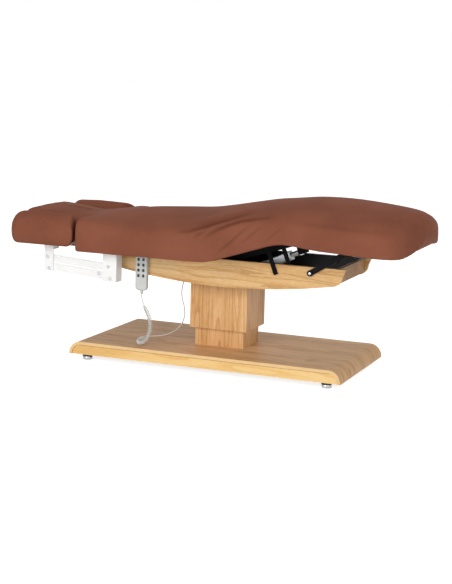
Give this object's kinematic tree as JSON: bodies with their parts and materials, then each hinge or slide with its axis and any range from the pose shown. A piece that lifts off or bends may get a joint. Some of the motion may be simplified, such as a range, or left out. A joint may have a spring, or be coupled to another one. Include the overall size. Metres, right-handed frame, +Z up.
{
  "type": "spa bed",
  "caption": "Padded treatment bed on a telescopic wooden column: folding back and leg sections, drop-down armrests on links, wooden tray and base, and a wired handset",
  "frame": {"origin": "middle of the bed's outer box on the floor, under the glides", "axes": "+X towards the foot end, -Y towards the viewer with the handset, +Z up"},
  "size_m": [1.9029, 0.7312, 0.7671],
  "materials": {
    "leatherette": "soft grained brown leatherette",
    "veneer": "satin clear-lacquered oak veneer",
    "end_wood": "satin stained plywood",
    "ply": "raw birch plywood",
    "black_steel": "black powder coat",
    "white_steel": "white powder coat",
    "zinc_steel": "zinc plated",
    "chrome": "polished",
    "alloy": "satin anodised",
    "drive_plastic": "moulded grey",
    "black_plastic": "fine moulded grain",
    "handset_plastic": "fine moulded grain",
    "button_plastic": "soft touch",
    "cord_sheath": "satin extruded",
    "webbing": "woven nylon"
  },
  "bodies": {
    "base": {"base_shell": "veneer", "base_skirts": "veneer", "base_frame": "black_steel", "foot_glides": "chrome", "foot_studs": "black_steel", "lower_sleeve": "veneer", "lift_outer_tube": "black_steel", "lift_drive": "drive_plastic"},
    "tray": {"upper_sleeve": "veneer", "lift_inner_tube": "zinc_steel", "lift_ram": "zinc_steel", "tray_side_panels": "veneer", "tray_end_boards": "end_wood", "tray_floor": "ply", "seat_board": "ply", "seat_cushion": "leatherette", "hinge_shafts": "zinc_steel", "calf_arm_studs": "chrome", "leg_drive_bracket": "black_steel", "back_drive_body": "drive_plastic", "control_box": "black_plastic", "cord_gland": "black_plastic", "handset_front": "handset_plastic", "handset_back": "handset_plastic", "cord_top": "cord_sheath", "cord_curl": "cord_sheath", "cord_lead": "cord_sheath"},
    "backrest": {"back_frame": "black_steel", "back_board": "ply", "back_lever": "black_steel", "back_cushion": "leatherette", "near_arm_bracket": "white_steel", "far_arm_bracket": "white_steel"},
    "back_ram": {"back_drive_ram": "zinc_steel"},
    "thigh": {"thigh_frame": "black_steel", "thigh_board": "ply", "thigh_cushion": "leatherette", "mattress_straps": "webbing"},
    "calf": {"calf_frame": "black_steel", "calf_board": "ply", "calf_cushion": "leatherette"},
    "calf_arm_pair": {"calf_arms": "black_steel"},
    "leg_drive": {"leg_drive_body": "alloy"},
    "leg_ram": {"leg_drive_ram": "zinc_steel"},
    "near_low_link": {"near_lower_link": "white_steel"},
    "near_high_link": {"near_upper_link": "white_steel"},
    "near_armrest": {"near_arm_upright": "white_steel", "near_arm_pad": "leatherette"},
    "far_low_link": {"far_lower_link": "white_steel"},
    "far_high_link": {"far_upper_link": "white_steel"},
    "far_armrest": {"far_arm_upright": "white_steel", "far_arm_pad": "leatherette"},
    "button_left_1": {"button_left_1": "button_plastic"},
    "button_left_2": {"button_left_2": "button_plastic"},
    "button_left_3": {"button_left_3": "button_plastic"},
    "button_left_4": {"button_left_4": "button_plastic"},
    "button_right_1": {"button_right_1": "button_plastic"},
    "button_right_2": {"button_right_2": "button_plastic"},
    "button_right_3": {"button_right_3": "button_plastic"},
    "button_right_4": {"button_right_4": "button_plastic"}
  },
  "joints": [
    {"name": "lift", "type": "slide", "parent": "base", "child": "tray", "axis": [0, 0, 1], "range_m": [-0.07, 0.1], "deforming": ["cord_top", "cord_curl", "cord_lead"]},
    {"name": "back_fold", "type": "hinge", "parent": "tray", "child": "backrest", "pos_m": [-0.12, 0, 0.485], "axis": [0, 1, 0], "range_deg": [0, 50]},
    {"name": "back_ram_slide", "type": "slide", "parent": "tray", "child": "back_ram", "axis": [-1, 0, 0], "range_m": [0, 0.0516]},
    {"name": "thigh_fold", "type": "hinge", "parent": "tray", "child": "thigh", "pos_m": [0.07, 0, 0.485], "axis": [0, -1, 0], "range_deg": [-18, 8]},
    {"name": "knee_fold", "type": "hinge", "parent": "thigh", "child": "calf", "pos_m": [0.40287, 0, 0.59316], "axis": [0, -1, 0], "range_deg": [-10.1, 22.6]},
    {"name": "calf_arm_swing", "type": "hinge", "parent": "tray", "child": "calf_arm_pair", "pos_m": [0.496, 0, 0.475], "axis": [0, -1, 0], "range_deg": [-29.8, 13.3]},
    {"name": "leg_drive_swing", "type": "hinge", "parent": "tray", "child": "leg_drive", "pos_m": [0.15, -0.056, 0.43], "axis": [0, -1, 0], "range_deg": [-21.9, 9.8]},
    {"name": "leg_ram_slide", "type": "slide", "parent": "leg_drive", "child": "leg_ram", "axis": [0.9106, 0, 0.4134], "range_m": [-0.0234, 0.0105]},
    {"name": "near_arm_lift", "type": "hinge", "parent": "backrest", "child": "near_low_link", "pos_m": [-0.41, -0.2915, 0.387], "axis": [0, 1, 0], "range_deg": [-15, 10]},
    {"name": "near_arm_guide", "type": "hinge", "parent": "backrest", "child": "near_high_link", "pos_m": [-0.419, -0.2915, 0.44], "axis": [0, 1, 0], "range_deg": [-15.1, 10.1]},
    {"name": "near_arm_level", "type": "hinge", "parent": "near_low_link", "child": "near_armrest", "pos_m": [-0.717, -0.2915, 0.409], "axis": [0, 1, 0], "range_deg": [-10.1, 15.1]},
    {"name": "far_arm_lift", "type": "hinge", "parent": "backrest", "child": "far_low_link", "pos_m": [-0.41, 0.2915, 0.387], "axis": [0, 1, 0], "range_deg": [-15, 10]},
    {"name": "far_arm_guide", "type": "hinge", "parent": "backrest", "child": "far_high_link", "pos_m": [-0.419, 0.2915, 0.44], "axis": [0, 1, 0], "range_deg": [-15.1, 10.1]},
    {"name": "far_arm_level", "type": "hinge", "parent": "far_low_link", "child": "far_armrest", "pos_m": [-0.717, 0.2915, 0.409], "axis": [0, 1, 0], "range_deg": [-10.1, 15.1]},
    {"name": "button_left_1_press", "type": "slide", "parent": "tray", "child": "button_left_1", "axis": [0, 1, 0], "range_m": [0, 0.0015], "stiffness_N_per_m": 400},
    {"name": "button_left_2_press", "type": "slide", "parent": "tray", "child": "button_left_2", "axis": [0, 1, 0], "range_m": [0, 0.0015], "stiffness_N_per_m": 400},
    {"name": "button_left_3_press", "type": "slide", "parent": "tray", "child": "button_left_3", "axis": [0, 1, 0], "range_m": [0, 0.0015], "stiffness_N_per_m": 400},
    {"name": "button_left_4_press", "type": "slide", "parent": "tray", "child": "button_left_4", "axis": [0, 1, 0], "range_m": [0, 0.0015], "stiffness_N_per_m": 400},
    {"name": "button_right_1_press", "type": "slide", "parent": "tray", "child": "button_right_1", "axis": [0, 1, 0], "range_m": [0, 0.0015], "stiffness_N_per_m": 400},
    {"name": "button_right_2_press", "type": "slide", "parent": "tray", "child": "button_right_2", "axis": [0, 1, 0], "range_m": [0, 0.0015], "stiffness_N_per_m": 400},
    {"name": "button_right_3_press", "type": "slide", "parent": "tray", "child": "button_right_3", "axis": [0, 1, 0], "range_m": [0, 0.0015], "stiffness_N_per_m": 400},
    {"name": "button_right_4_press", "type": "slide", "parent": "tray", "child": "button_right_4", "axis": [0, 1, 0], "range_m": [0, 0.0015], "stiffness_N_per_m": 400}
  ],
  "couplings": [
    {"joint": "back_ram_slide", "follows": "back_fold", "m_per_rad": 0.05878},
    {"joint": "knee_fold", "follows": "thigh_fold", "ratio": -1.25},
    {"joint": "calf_arm_swing", "follows": "thigh_fold", "ratio": 1.65},
    {"joint": "leg_drive_swing", "follows": "thigh_fold", "ratio": 1.21},
    {"joint": "leg_ram_slide", "follows": "thigh_fold", "m_per_rad": 0.074},
    {"joint": "near_arm_guide", "follows": "near_arm_lift", "ratio": 1},
    {"joint": "near_arm_level", "follows": "near_arm_lift", "ratio": -1},
    {"joint": "far_arm_guide", "follows": "far_arm_lift", "ratio": 1},
    {"joint": "far_arm_level", "follows": "far_arm_lift", "ratio": -1}
  ]
}
